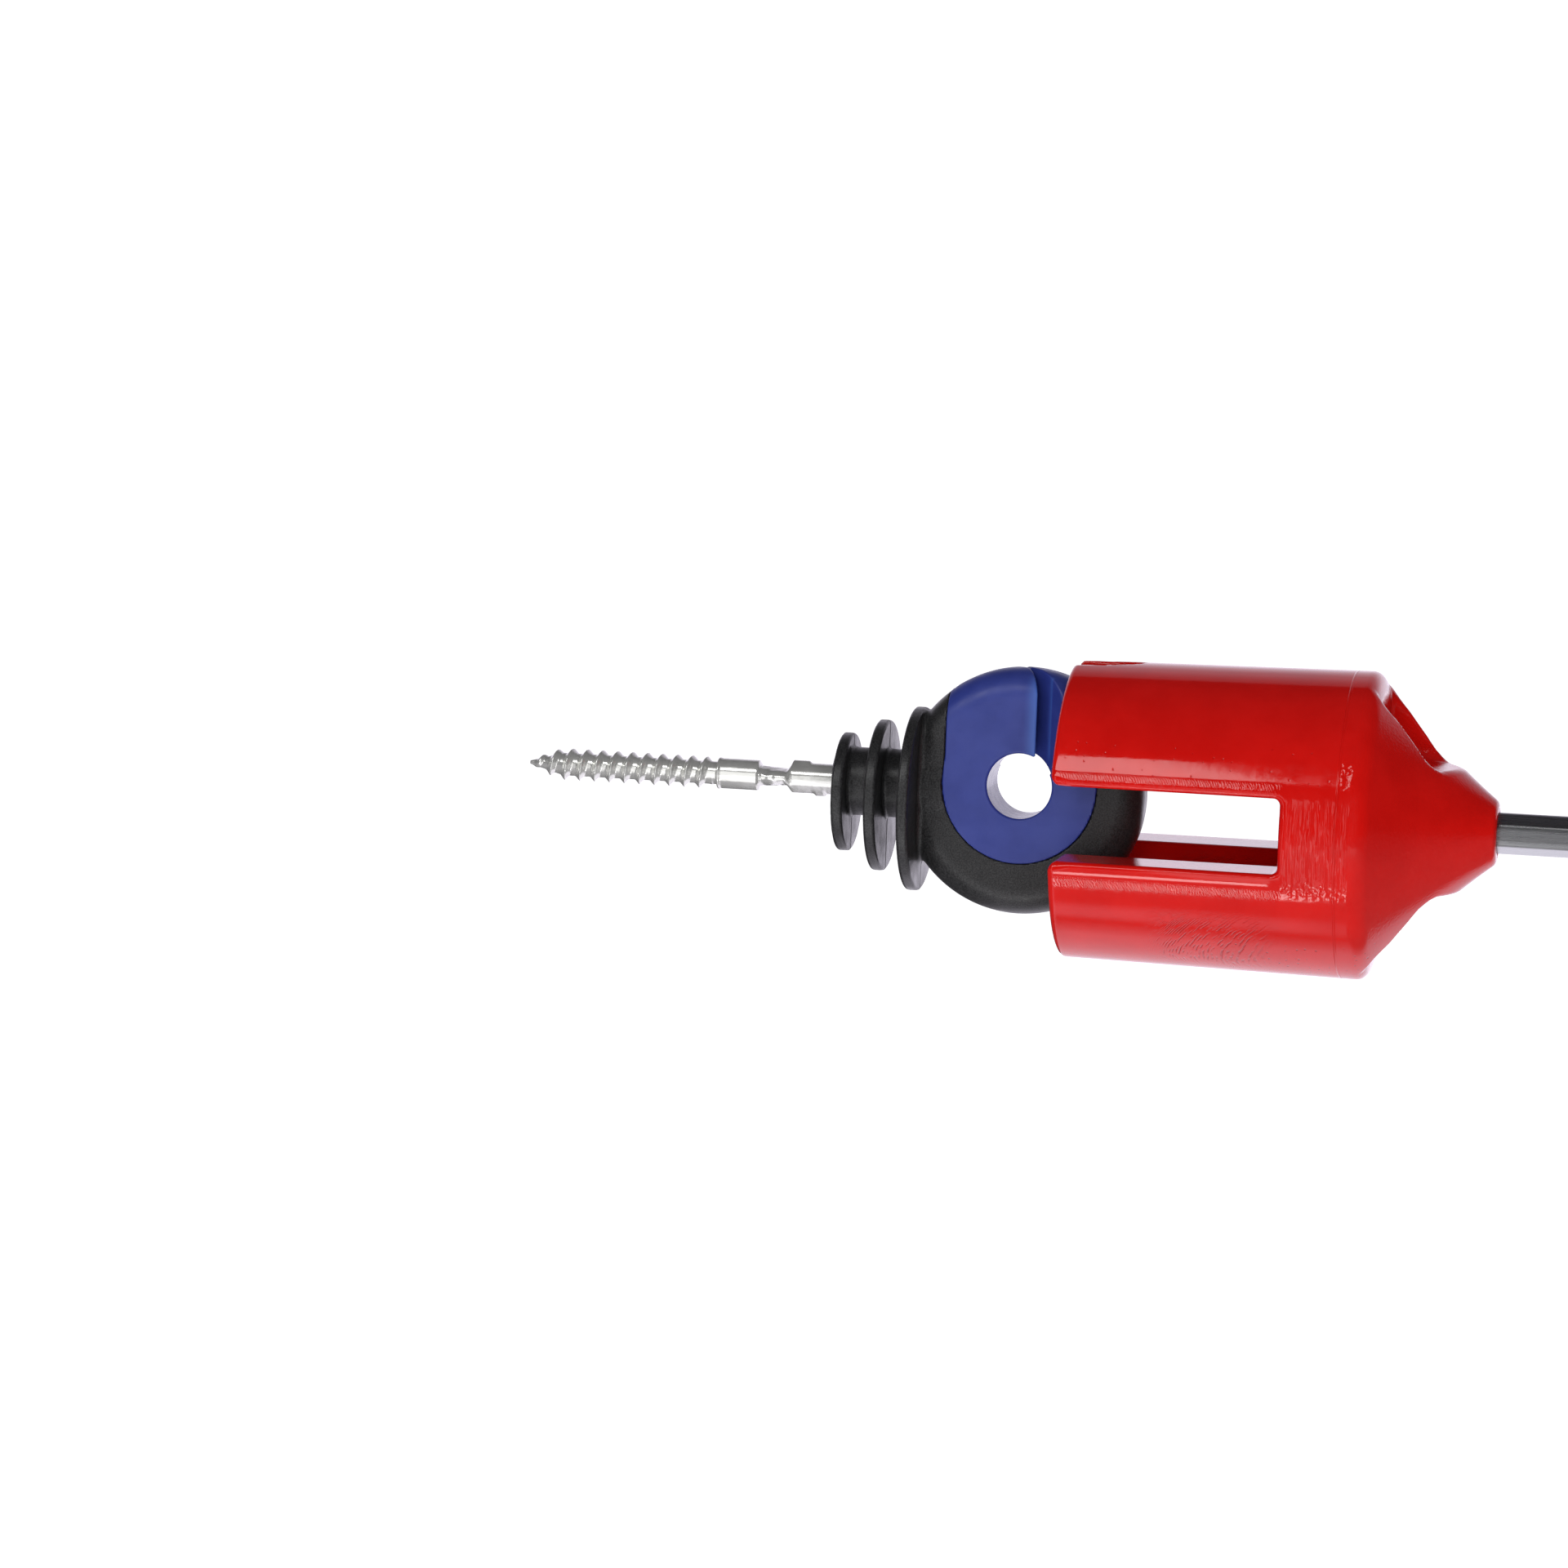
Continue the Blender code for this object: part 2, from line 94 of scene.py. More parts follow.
# Blue insert
HOLE_RISE = 1.3
HOLE_R = 5.67
HOLE_EDGE = 0.5
INSERT_R = 13.5
INSERT_HALF_WIDTH = 13.2
INSERT_FILLET = 0.6        # between its round bottom and its straight sides
INSERT_LIP = 0.12          # it stands a little proud of the black rim
TONGUE_HEIGHT = 1.2
TONGUE_HALF = 1.5
SEAM = 0.05
SEAM_EDGE = 0.06
SLIT_MOUTH = 4.4
SLIT_THROAT = 0.5
SLIT_LAP = 2.7
SLIT_EDGE = 0.3
SLIT_FLOOR = 2.5           # above the middle of the hole
SLIT_SLANT = 0.8           # cosine of its walls' slant, about

# Red driver
DRIVER_DROP = 2.6
TIP_X = 62.6
TIP_R = 25.75
TIP_EDGE = 1.0
DRIVER_FLARE = 0.8
FLARE_END = 1.1            # the flare ends a little past the shoulder, as a share of the barrel
SLOT_HALF = 6.4
SLOT_END = 101.7
SLOT_CORNER = 1.2
SLOT_EDGE = 1.2
SLOT_TIP_EDGE = 0.8        # more of it at the tip
SLOT_TIP_LENGTH = 4.0
LIP_WIDTH = (2.9, 2.7)     # the barrel rises into a slight lip below and above its slots
LIP_CREST = (1.3, 0.3)
LIP_RISE = 0.18
LIP_FADE = 1.5             # before and behind the end of the slots
BORE_R = 14.0
POCKET_REACH = 24.4
POCKET_ROUNDING = 5.0
POCKET_EDGE = 0.7
NOTCH_HALF_WIDTH = 4.0
NOTCH_LENGTH = 11.7
NOTCH_EDGE = 0.5
SHOULDER_X = 114.7
SHOULDER_ROUNDING = 1.6
CONE_START = 116.09
CONE_START_R = 25.75
CONE_SAG = 1.2
CONE_REACH = (-0.4, 1.2)   # its curve goes on past both ends, as shares of its length
CONE_SLANT = 0.7           # cosine of its side's slant, about
NOSE_X = 136.5
NOSE_R = 5.27
NOSE_EDGE = 0.6
WINDOW_X = 116.3
WINDOW_HALF_WIDTH = 9.6
WINDOW_EDGE = 0.7
WINDOW_CORNER = 2.5        # inside it, between its cheeks and its floor
WINDOW_BROW = 2.0          # rounding of the window's edge at the shoulder
WINDOW_BROW_FADE = (WINDOW_X + 0.5, WINDOW_X + 4.0)
LEDGE_HEIGHT = 10.77

# Drive shank
HEX_FLATS = 6.35
HEX_CORNER_R = 3.55
HEX_START = 111.7
HEX_END = 165.0
HEX_CHAMFER = 0.8
SOCKET_GAP = 0.15
SOCKET_EDGE = 0.3

# Grid lines: where a grid starts, then its stretches as (end, step), finer where the shape needs it
SHANK_GRID = (-THREAD_LENGTH, (-0.05, 0.16), (0.0, 0.05), (0.9, 0.06), (21.0, 0.16), (ANCHOR_END, 0.8))
BODY_GRID = (
    (20.7, (76.1, 0.32)),
    (-16.4, (-0.8, 0.34), (0.8, 0.1), (16.4, 0.34)),
    (-21.8, (21.8, 0.34)),
)
INSERT_GRID = (
    (40.4, (68.2, 0.28)),
    (-6.2, (6.2, 0.26)),
    (-12.8, (21.9, 0.28)),
)
DRIVER_GRID = (            # round the driver's own axis
    (62.1, (76.0, 0.42), (98.5, 0.9), (104.0, 0.42), (112.0, 0.8), (137.0, 0.42)),
    (-27.1, (27.1, 0.5)),
    (-27.1, (-9.8, 0.5), (-5.6, 0.22), (5.6, 0.5), (9.8, 0.22), (27.1, 0.5)),
)
HEX_GRID = (
    HEX_START,
    (HEX_START + 0.1, 0.1),
    (HEX_START + 1.2, 0.2),
    (HEX_END - 1.2, 2.0),
    (HEX_END - 0.1, 0.2),
    (HEX_END, 0.1),
)
SHANK_SIDES = 64
HEX_SIDES = 48


# Field tools: a field is negative inside a shape and counts millimetres from its surface

def rounded_cut(a, b, r):
    """The common part of two fields, with the edge between them rounded."""
    corner = np.hypot(np.maximum(a + r, 0), np.maximum(b + r, 0))
    return np.minimum(np.maximum(a, b), -r) + corner


def rounded_join(a, b, r):
    """Two fields together, with a fillet in the corner between them."""
    corner = np.hypot(np.maximum(r - a, 0), np.maximum(r - b, 0))
    return np.maximum(np.minimum(a, b), r) - corner


def slab(t, low, high):
    """The space between two planes."""
    return np.maximum(low - t, t - high)


def rounded_box(u, v, half_u, half_v, r):
    """A rectangle round (0, 0) with rounded corners."""
    du = np.abs(u) - half_u + r
    dv = np.abs(v) - half_v + r
    return np.hypot(np.maximum(du, 0), np.maximum(dv, 0)) + np.minimum(np.maximum(du, dv), 0) - r


def ramp(t, low, high):
    """0 up to low, 1 from high on, and a smooth rise between."""
    s = np.clip((t - low) / (high - low), 0, 1)
    return s * s * (3 - 2 * s)


def hump(t, start, top, fall, foot):
    """A smooth rise from start to top, and down again from fall to foot."""
    return ramp(t, start, top) * (1 - ramp(t, fall, foot))


# Mesh tools

CORNERS = [(i & 1, i >> 1 & 1, i >> 2) for i in range(8)]
CELL_EDGES = [(i, i | bit) for i in range(8) for bit in (1, 2, 4) if not i & bit]
GRADIENT_STEP = 0.03
NORMAL_STEP = 0.08
SETTLE_ROUNDS = 4
LEAST_SLOPE = 0.01         # least values that a division takes
LEAST_SLOPE_SQUARE = 0.1
LEAST_NORMAL = 1e-6


def spaced(start, *spans):
    """Grid lines from start on, over spans of (end, step)."""
    lines = [start]
    for end, step in spans:
        count = max(1, round((end - lines[-1]) / step))
        lines.extend(np.linspace(lines[-1], end, count + 1)[1:])
    return np.array(lines)


def gradient(field, points, step):
    """Slope of a field at each point."""
    slope = np.empty_like(points)
    for axis in range(3):
        shift = np.zeros(3)
        shift[axis] = step
        slope[:, axis] = (field(*(points + shift).T) - field(*(points - shift).T)) / (2 * step)
    return slope


def net_points(value, lines, cells):
    """One point in each crossed cell: the mean of where the surface crosses the cell's edges."""
    corner_value = np.stack([value[tuple((cells + corner).T)] for corner in CORNERS])
    corner_place = np.stack(
        [np.stack([lines[a][cells[:, a] + corner[a]] for a in range(3)], axis=1) for corner in CORNERS]
    )
    total = np.zeros((len(cells), 3))
    count = np.zeros((len(cells), 1))
    for low, high in CELL_EDGES:
        crossed = (corner_value[low] < 0) != (corner_value[high] < 0)
        gap = np.where(crossed, corner_value[low] - corner_value[high], 1)
        share = (corner_value[low] / gap)[:, None]
        place = corner_place[low] + (corner_place[high] - corner_place[low]) * share
        total += np.where(crossed[:, None], place, 0)
        count += crossed[:, None]
    return total / count


def net_faces(inside, number):
    """A face across each grid line piece that the surface crosses, turned to face outwards."""
    faces = []
    for axis in range(3):
        b, c = (axis + 1) % 3, (axis + 2) % 3
        along = np.moveaxis(inside, (axis, b, c), (0, 1, 2))
        cell = np.moveaxis(number, (axis, b, c), (0, 1, 2))
        crossed = np.argwhere(along[:-1, 1:-1, 1:-1] != along[1:, 1:-1, 1:-1])
        i, j, k = crossed[:, 0], crossed[:, 1] + 1, crossed[:, 2] + 1
        quad = np.stack([cell[i, j - 1, k - 1], cell[i, j, k - 1], cell[i, j, k], cell[i, j - 1, k]], axis=1)
        leaving = along[i, j, k]
        faces.append(np.where(leaving[:, None], quad, quad[:, ::-1]))
    return np.concatenate(faces)


def settle(field, points, reach):
    """Moves points onto a field's surface, by at most reach along each axis in a round."""
    for _ in range(SETTLE_ROUNDS):
        slope = gradient(field, points, GRADIENT_STEP)
        square = np.maximum((slope**2).sum(1, keepdims=True), LEAST_SLOPE_SQUARE)
        move = field(*points.T)[:, None] * slope / square
        points = points - np.clip(move, -reach, reach)
    return points


def field_piece(name, field, lines):
    """A closed mesh of a field's surface, with the field's own slope as its normals."""
    value = field(*np.meshgrid(*lines, indexing="ij", sparse=True))
    inside = value < 0
    shape = [n - 1 for n in inside.shape]
    filled = sum(
        inside[dx:dx + shape[0], dy:dy + shape[1], dz:dz + shape[2]].astype(np.int8) for dx, dy, dz in CORNERS
    )
    cells = np.argwhere((filled > 0) & (filled < len(CORNERS)))
    number = np.full(shape, -1)
    number[tuple(cells.T)] = np.arange(len(cells))
    reach = min(np.diff(line).min() for line in lines) / 2
    points = settle(field, net_points(value, lines, cells), reach)
    normals = gradient(field, points, NORMAL_STEP)
    normals /= np.maximum(np.linalg.norm(normals, axis=1, keepdims=True), LEAST_NORMAL)
    return mesh_piece(name, points, net_faces(inside, number), normals)


def mesh_piece(name, points, faces, normals=None):
    """A smooth-shaded object from points in millimetres."""
    mesh = bpy.data.meshes.new(name)
    mesh.from_pydata((points * MM).tolist(), [], [list(face) for face in faces])
    mesh.shade_smooth()
    if normals is not None:
        mesh.normals_split_custom_set_from_vertices(normals.tolist())
    piece = bpy.data.objects.new(name, mesh)
    bpy.context.scene.collection.objects.link(piece)
    return piece


def turned_piece(name, along, section, sides):
    """A closed surface round the X axis: section gives the y and z of its points from x and the angle."""
    x, angle = np.meshgrid(along, np.linspace(0, 2 * pi, sides, endpoint=False), indexing="ij")
    y, z = section(x, angle)
    points = np.stack([x, y, z], axis=2).reshape(-1, 3)
    faces = []
    for row in range(len(along) - 1):
        low, high = row * sides, (row + 1) * sides
        for step in range(sides):
            after = (step + 1) % sides
            faces.append((low + step, low + after, high + after, high + step))
    faces.append(tuple(range(sides))[::-1])
    last = (len(along) - 1) * sides
    faces.append(tuple(range(last, last + sides)))
    return mesh_piece(name, points, faces)


# Shapes

def thread_radius(x, angle):
    """Wood thread: a sharp ridge winding round a core that ends in a point."""
    phase = (x / THREAD_PITCH + angle / (2 * pi)) % 1
    ridge = np.clip(1 - np.abs(phase - 0.5) / THREAD_RIDGE_HALF, 0, 1)
    run_out = 1 - ramp(x, *THREAD_RUN_OUT)
    point = np.clip((x + THREAD_LENGTH) / THREAD_POINT_LENGTH, 0, 1)
    core = THREAD_POINT_R + (THREAD_CORE_R - THREAD_POINT_R) * point
    growth = np.minimum(point * THREAD_POINT_GAIN, 1)
    return core + (THREAD_R - THREAD_CORE_R) * ridge * run_out * growth


def shank_section(x, angle):
    """Thread, shoulder, round stem with a waist squeezed from above and below, and two crimp ears."""
    shoulder = np.clip(x / SHOULDER_EDGE, 0, 1)
    stem = SHANK_R - SHOULDER_EDGE * (1 - np.sqrt(1 - (1 - shoulder) ** 2))
    stem = stem + FLANGE * (1 - ramp(x, *FLANGE_FADE))
    waist = hump(x, WAIST_START, WAIST_START + WAIST_ENTRY, WAIST_END, WAIST_END + WAIST_RAMP)
    half_height = np.interp(x, (WAIST_START, WAIST_END), WAIST_HALF_HEIGHT)
    crown = EAR_RISE * np.exp(-((np.cos(angle) / EAR_HALF_WIDTH) ** 2))
    ears = crown * np.where(np.sin(angle) > 0, hump(x, *TOP_EAR), hump(x, *LOW_EAR))
    wide = stem + (WAIST_HALF_WIDTH - SHANK_R) * waist + ears
    tall = stem + (half_height - SHANK_R) * waist + ears
    thread = thread_radius(x, angle)
    end = 1 - ANCHOR_TAPER * ramp(x, ANCHOR_END - ANCHOR_EDGE, ANCHOR_END)
    y = np.where(x < 0, thread, wide) * np.cos(angle) * end
    z = np.where(x < 0, thread, tall) * np.sin(angle) * end
    return y, z


def hex_section(x, angle):
    """A hexagon with two corners up and down, softened corners and broken end edges."""
    flat = HEX_FLATS / 2 / np.cos((angle + pi / 6) % (pi / 3) - pi / 6)
    ends = np.minimum(x - HEX_START, HEX_END - x)
    r = np.minimum(np.minimum(flat, HEX_CORNER_R), HEX_FLATS / sqrt(3) - HEX_CHAMFER + ends)
    return r * np.cos(angle), r * np.sin(angle) - DRIVER_DROP


def ring_field(x, y, z):
    """The thick round ring as a disc."""
    return rounded_box(np.hypot(x - RING_X, z), y, RING_R, RING_HALF, RING_EDGE)


def arch_field(x, z):
    """Outline of the insert: round below, straight sides above."""
    circle = np.hypot(x - RING_X, z - HOLE_RISE) - INSERT_R
    sides = np.maximum(np.abs(x - RING_X) - INSERT_HALF_WIDTH, HOLE_RISE - z)
    return rounded_join(circle, sides, INSERT_FILLET)


def seat_field(x, y, z, gap):
    """The insert's block, with the groove for the body's tongue. gap makes it smaller all round."""
    arch = arch_field(x, z) + gap
    return np.minimum(np.maximum(arch, TONGUE_HALF + gap - np.abs(y)), arch + TONGUE_HEIGHT)


def shed_field(x, y, z, index):
    """A rain shed: a disc that hangs low, with the parting ridge of the mould."""
    middle = FIRST_SHED_X + SHED_THICKNESS / 2 + index * SHED_PITCH
    reach = np.hypot(y, z + SHED_DROP + index * SHED_DROP_GROWTH)
    ridge = RIDGE_RISE * np.exp(-((y / RIDGE_HALF_WIDTH) ** 2))
    return rounded_box(reach, x - middle, SHED_R + index * SHED_GROWTH, SHED_THICKNESS / 2, SHED_EDGE) - ridge


def body_field(x, y, z):
    """Collar, hub, three rain sheds and the ring, with the seats of the shank and the insert."""
    reach = np.hypot(y, z)
    collar = rounded_cut(reach - BOSS_R, slab(x, STEM_LENGTH, FIRST_SHED_X + SHED_THICKNESS), BOSS_EDGE)
    hub_end = RING_X - INSERT_R + HUB_SINK
    hub = np.maximum(reach - HUB_R, slab(x, FIRST_SHED_X + SHED_THICKNESS / 2, hub_end))
    solid = np.minimum(collar, hub)
    for index in range(SHED_COUNT):
        solid = rounded_join(solid, shed_field(x, y, z, index), SHED_FILLET)
    ring = np.maximum(ring_field(x, y, z), LAST_SHED_FACE - SHED_THICKNESS / 2 - x)
    solid = rounded_join(solid, ring, RING_FILLET)
    solid = rounded_cut(solid, -seat_field(x, y, z, 0.0), SEAM_EDGE)
    shank = np.maximum(reach - SHANK_R - SEAM, x - ANCHOR_END - SEAM)
    return rounded_cut(solid, -shank, SEAM_EDGE)


def slit_field(x, y, z):
    """The lapped slit: wide at both faces, narrow halfway, and slanting so that the flaps overlap."""
    across = (x - RING_X) * np.where(y < 0, 1.0, -1.0)
    depth = np.abs(y) / RING_HALF
    throat = SLIT_THROAT / 2
    flap = (SLIT_LAP + throat) * depth - throat
    wall = (SLIT_LAP + SLIT_MOUTH - throat) * depth + throat
    return np.maximum(slab(across, flap, wall) * SLIT_SLANT, HOLE_RISE + SLIT_FLOOR - z)


def insert_field(x, y, z):
    """The wear insert: part of the ring's shape, with the rope hole and the slit."""
    solid = rounded_cut(ring_field(x, y, z) - INSERT_LIP, seat_field(x, y, z, SEAM), SEAM_EDGE)
    hole = np.hypot(x - RING_X, z - HOLE_RISE) - HOLE_R
    solid = rounded_cut(solid, -hole, HOLE_EDGE)
    return rounded_cut(solid, -slit_field(x, y, z), SLIT_EDGE)


def driver_outline(x, reach, z):
    """Flared barrel with lips along its slots, rounded shoulder and hollow-sided cone."""
    along = np.clip((x - TIP_X) / (SHOULDER_X - TIP_X), 0, FLARE_END)
    crest = np.where(z < 0, *LIP_CREST)
    width = np.where(z < 0, *LIP_WIDTH)
    across = np.clip((np.abs(z) - SLOT_HALF - crest) / (width - crest), 0, 1)
    lip = LIP_RISE * (1 - across**2) * (1 - ramp(x, SLOT_END - LIP_FADE, SLOT_END + LIP_FADE))
    barrel = reach - TIP_R - DRIVER_FLARE * along - lip
    t = np.clip((x - CONE_START) / (NOSE_X - CONE_START), *CONE_REACH)
    cone_r = CONE_START_R + (NOSE_R - CONE_START_R) * t - 4 * CONE_SAG * t * (1 - t)
    outline = rounded_cut(barrel, (reach - cone_r) * CONE_SLANT, SHOULDER_ROUNDING)
    outline = rounded_cut(outline, TIP_X - x, TIP_EDGE)
    return rounded_cut(outline, x - NOSE_X, NOSE_EDGE)


def notch_field(x, y, z):
    """Oval notches in the tip, above and below, for the crest of the ring."""
    oval = np.hypot((x - TIP_X) / NOTCH_LENGTH, y / NOTCH_HALF_WIDTH)
    slope = np.hypot((x - TIP_X) / NOTCH_LENGTH**2, y / NOTCH_HALF_WIDTH**2)
    return np.maximum(oval * (oval - 1) / np.maximum(slope, LEAST_SLOPE), BORE_R - np.abs(z))


def window_field(x, y, z):
    """Windows in the cone, above and below, each with a floor between two cheeks."""
    window = rounded_cut(np.abs(y) - WINDOW_HALF_WIDTH, LEDGE_HEIGHT - np.abs(z), WINDOW_CORNER)
    return rounded_cut(window, WINDOW_X - x, WINDOW_EDGE)


def socket_field(x, y, z):
    """The hexagon socket in the nose."""
    hexagon = np.abs(y)
    for turn in (radians(60), radians(-60)):
        hexagon = np.maximum(hexagon, np.abs(y * cos(turn) + z * sin(turn)))
    return np.maximum(hexagon - HEX_FLATS / 2 - SOCKET_GAP, HEX_START - SOCKET_GAP - x)


def driver_field(x, y, z):
    """The driver: side slots, ring pocket, bore, tip notches, windows in the cone and a hexagon socket."""
    z = z + DRIVER_DROP
    reach = np.hypot(y, z)
    solid = driver_outline(x, reach, z)
    slot = rounded_box(x - TIP_X, z, SLOT_END - TIP_X, SLOT_HALF, SLOT_CORNER)
    edge = SLOT_EDGE + SLOT_TIP_EDGE * (1 - ramp(x, TIP_X, TIP_X + SLOT_TIP_LENGTH))
    solid = rounded_cut(solid, -slot, edge)
    pocket = rounded_box(y, z, SLOT_HALF, POCKET_REACH, POCKET_ROUNDING)
    hollow = np.maximum(np.minimum(pocket, reach - BORE_R), x - SLOT_END)
    solid = rounded_cut(solid, -hollow, POCKET_EDGE)
    solid = rounded_cut(solid, -notch_field(x, y, z), NOTCH_EDGE)
    rounding = WINDOW_EDGE + (WINDOW_BROW - WINDOW_EDGE) * (1 - ramp(x, *WINDOW_BROW_FADE))
    solid = rounded_cut(solid, -window_field(x, y, z), rounding)
    return rounded_cut(solid, -socket_field(x, y, z), SOCKET_EDGE)


def place(piece, body, node, slot, material):
    """Makes a piece stand for its CAD node and ride on its body."""
    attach(piece, body)
    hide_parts(node)
    piece.data.materials.append(material)


# Node tools

class Graph:
    """Adds shader nodes to a tree. A value is a number, a colour or another node's output."""
    rise = "LINEAR"            # the way that between goes from its start to its end

    def __init__(self, tree):
        self.tree = tree

    def feed(self, socket, value):
        if isinstance(value, bpy.types.NodeSocket):
            self.tree.links.new(value, socket)
        else:
            socket.default_value = value

    def node(self, kind, inputs=None, **settings):
        made = self.tree.nodes.new("ShaderNode" + kind)
        for key, value in settings.items():
            setattr(made, key, value)
        for key, value in (inputs or {}).items():
            self.feed(made.inputs[key], value)
        return made

    def math(self, operation, a, b=0.0):
        return self.node("Math", {0: a, 1: b}, operation=operation).outputs[0]

    def plus(self, a, b):
        return self.math("ADD", a, b)

    def minus(self, a, b):
        return self.math("SUBTRACT", a, b)

    def times(self, product, *others):
        for other in others:
            product = self.math("MULTIPLY", product, other)
        return product

    def larger(self, a, b):
        return self.math("MAXIMUM", a, b)

    def length(self, a, b):
        """Distance of the point (a, b) from (0, 0)."""
        return self.math("SQRT", self.plus(self.times(a, a), self.times(b, b)))

    def between(self, value, span, start=0.0, end=1.0):
        """Goes from start to end as value crosses a span, and stays there outside it."""
        inputs = {"Value": value, "From Min": span[0], "From Max": span[1], "To Min": start, "To Max": end}
        return self.node("MapRange", inputs, interpolation_type=self.rise).outputs[0]

    def mix(self, share, a, b):
        return self.node("Mix", {0: share, 6: a, 7: b}, data_type="RGBA").outputs[2]


class Pattern(Graph):
    """The nodes of a material. Patterns run on each piece's own coordinates, in millimetres."""
    rise = "SMOOTHSTEP"

    def __init__(self, name, metallic=0.0):
        self.material = bpy.data.materials.new(name)
        self.material.use_nodes = True
        super().__init__(self.material.node_tree)
        self.surface = self.tree.nodes["Principled BSDF"].inputs
        self.surface["Metallic"].default_value = metallic
        self.place = self.stretched(self.node("TexCoord").outputs["Object"], (1 / MM, 1 / MM, 1 / MM))
        self.x, self.y, self.z = self.node("SeparateXYZ", {0: self.place}).outputs

    def stretched(self, place, scale):
        return self.node("VectorMath", {0: place, 1: scale}, operation="MULTIPLY").outputs[0]

    def noise(self, scale, detail=3.0, rough=0.55, stretch=None):
        """A cloudy pattern of about scale spots for each millimetre, times stretch along each axis."""
        where = self.place if stretch is None else self.stretched(self.place, stretch)
        return self.noise_on(where, scale, detail, rough)

    def noise_on(self, where, scale, detail, rough):
        inputs = {"Vector": where, "Scale": scale, "Detail": detail, "Roughness": rough}
        return self.node("TexNoise", inputs).outputs["Fac"]

    def wave(self, turns):
        """A sine with one wave for each turn."""
        return self.math("SINE", self.times(turns, 2 * pi))

    def band(self, value, low, high, fade):
        """1 between low and high, falling to 0 over the fade on both sides."""
        rise = self.between(value, (low - fade, low))
        return self.times(rise, self.between(value, (high, high + fade), 1.0, 0.0))

    def zone(self, along, round_it, arc):
        """1 in a zone of the barrel: a band along it and a band of its arc."""
        return self.times(self.band(self.x, *along), self.band(arc, *round_it))

    def relief(self, *layers):
        """Layers of relief, one on the other: a pattern, and the millimetres that a full step of it rises."""
        normal = None
        for pattern, height in layers:
            inputs = {"Height": pattern, "Distance": height * MM, "Strength": 1.0}
            if normal is not None:
                inputs["Normal"] = normal
            normal = self.node("Bump", inputs).outputs["Normal"]
        return normal

    def finish(self, colour, roughness, normal):
        self.feed(self.surface["Base Color"], colour)
        self.feed(self.surface["Roughness"], roughness)
        self.feed(self.surface["Normal"], normal)
        return self.material


# Materials

NOISE_SPAN = (0.3, 0.7)    # a noise stays within about this
NOISE_MEAN = 0.5

# Colours, in pairs that a material varies between
ZINC_COLOURS = ((0.74, 0.74, 0.71, 1), (0.84, 0.84, 0.81, 1))
BLACK_COLOURS = ((0.007, 0.007, 0.0075, 1), (0.032, 0.032, 0.033, 1))
BLUE_COLOURS = ((0.020, 0.034, 0.210, 1), (0.027, 0.043, 0.240, 1))
BLUE_THIN = (0.055, 0.150, 0.520, 1)
RED_COLOURS = ((0.545, 0.0045, 0.0028, 1), (0.600, 0.0060, 0.0040, 1))
# painted shade: the darker red that is mixed into the pores and the ripples' grooves
RED_PAINTED_SHADE = (0.16, 0.002, 0.003, 1)
STEEL_COLOURS = ((0.48, 0.49, 0.50, 1), (0.66, 0.67, 0.68, 1))

# Marks on the shank and the insert. A band is where it starts, where it ends and how far it fades
WAIST_DENTS = (WAIST_START + 1.0, WAIST_END, 0.6)
FLAP_RISE = (SLIT_LAP - 2.6, SLIT_LAP + 0.3)   # the flaps turn paler towards their ends
FLAP_END = (SLIT_LAP + 0.35, SLIT_LAP + 0.8)
FLAP_HEIGHT = (5.0, 7.5)
FLAP_DEPTH = (3.2, 4.4)    # from the middle of the ring
FLAP_SHARE = 0.7
HOLE_WALL = (HOLE_R + 0.1, HOLE_R + 0.3)
HOLE_GLOSS = 0.6           # the wall of the hole is smoother

# Marks on the driver. A zone is a band along the barrel and a band of its arc
OUTER_SKIN = (TIP_R - 1.2, TIP_R - 0.4)
MOULD_SEAM = (111.25, 111.35, 0.22)   # ring-shaped seam line of the mould, near the shoulder
CONE_PEEL = (SHOULDER_X, SHOULDER_X + 3.0)
RIPPLE_X = 68.0            # ripples on the lower jaw fan out from here along the barrel
RIPPLE_ARC = -27.0         # they stand upright at this place round it
RIPPLE_BOW = 10.0          # and bow with this radius
RIPPLE_COUNT = 18.715      # of them, each time that the distance doubles
RIPPLE_SWAY = 1.6
RIPPLE_CREST = (-0.4, 0.9)
RIPPLE_GRAIN = (0.8, 0.5)  # along the ripples' way and round the barrel
RIPPLE_BREAKS = (0.42, 0.60)
RIPPLE_ZONE = ((85.0, 95.0, 7.0), (-26.0, -19.0, 6.0))
RIPPLE_SHADE = 0.45
WEB_FOLDS = (1.5, 0.14, 0.14)
WEB_PEBBLES = 1.25
WEB_PEBBLE_ARC = (-8.5, -5.5)
WEB_PEBBLE_SHARE = (0.6, 0.1)   # below that arc and above it
WEB_ZONE = ((103.2, 113.0, 1.5), (-8.0, 4.0, 3.0))
WEB_SPOT = ((111.9, 113.3, 0.9), (10.0, 12.0, 2.0))
WEB_SPOT_SHARE = 0.7
LIP_FOLD = 0.45            # from one wrinkle below the lip to the next
LIP_FOLD_SLANT = 0.5
LIP_FOLD_SWAY = 2.4
LIP_FOLD_CREST = (-0.9, 0.9)
LIP_FOLD_BREAKS = (0.30, 0.55)
LIP_FOLD_LEAST = 0.4
LIP_FOLD_X = (65.0, 101.0, 1.5)
LOW_LIP_ARC = (-11.0, -9.4, 0.3)
HIGH_LIP_ARC = (7.2, 8.6, 0.4)
HIGH_LIP_SHARE = 0.4
PORE_CELLS = 0.6           # for each millimetre
PORE_CORE = 0.03
PORE_RIM = (0.08, 0.17)    # of the smallest and the largest pore, as shares of a cell
PORE_SHADE = 0.85
LOW_PORES = ((94.0, 116.0, 4.0), (-33.0, -22.0, 2.0))
LOW_PORE_PICK = (0.60, 0.62)    # cells whose random number is higher have a pore
